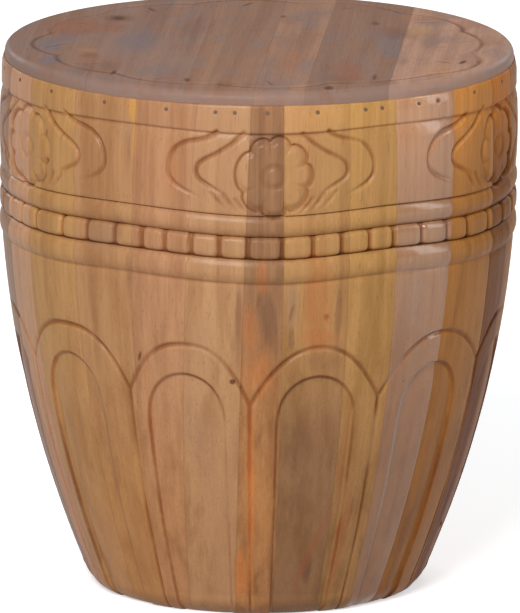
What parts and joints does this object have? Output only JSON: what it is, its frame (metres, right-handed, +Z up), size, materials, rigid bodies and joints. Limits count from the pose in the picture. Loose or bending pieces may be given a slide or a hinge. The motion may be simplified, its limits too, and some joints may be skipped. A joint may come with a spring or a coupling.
{
  "type": "drum table",
  "caption": "Round drum-shaped side table of upright wooden staves with a lipped board top, banded rim and body tapering to a rounded foot.",
  "frame": {"origin": "on the floor, under the middle of the table", "axes": "+Z up the table's axis, -Y towards the front, +X to the right seen from the front"},
  "size_m": [0.432, 0.432, 0.457],
  "materials": {
    "honey_wood": "waxed satin",
    "tan_wood": "waxed satin",
    "pink_tan_wood": "waxed satin",
    "umber_wood": "waxed satin",
    "ochre_wood": "waxed satin",
    "top_wood": "waxed satin",
    "nail_steel": "darkened"
  },
  "bodies": {
    "root": {"stave_01": "honey_wood", "stave_02": "tan_wood", "stave_03": "pink_tan_wood", "stave_04": "tan_wood", "stave_05": "umber_wood", "stave_06": "honey_wood", "stave_07": "ochre_wood", "stave_08": "pink_tan_wood", "stave_09": "ochre_wood", "stave_10": "umber_wood", "stave_11": "honey_wood", "stave_12": "tan_wood", "stave_13": "pink_tan_wood", "stave_14": "ochre_wood", "stave_15": "tan_wood", "stave_16": "honey_wood", "stave_17": "umber_wood", "stave_18": "pink_tan_wood", "stave_19": "honey_wood", "stave_20": "tan_wood", "stave_21": "ochre_wood", "stave_22": "tan_wood", "stave_23": "honey_wood", "stave_24": "umber_wood", "stave_25": "pink_tan_wood", "stave_26": "pink_tan_wood", "top_board_1": "top_wood", "top_board_2": "top_wood", "top_board_3": "top_wood", "top_board_4": "top_wood", "top_board_5": "top_wood", "top_board_6": "top_wood", "top_nails": "nail_steel"}
  },
  "joints": []
}
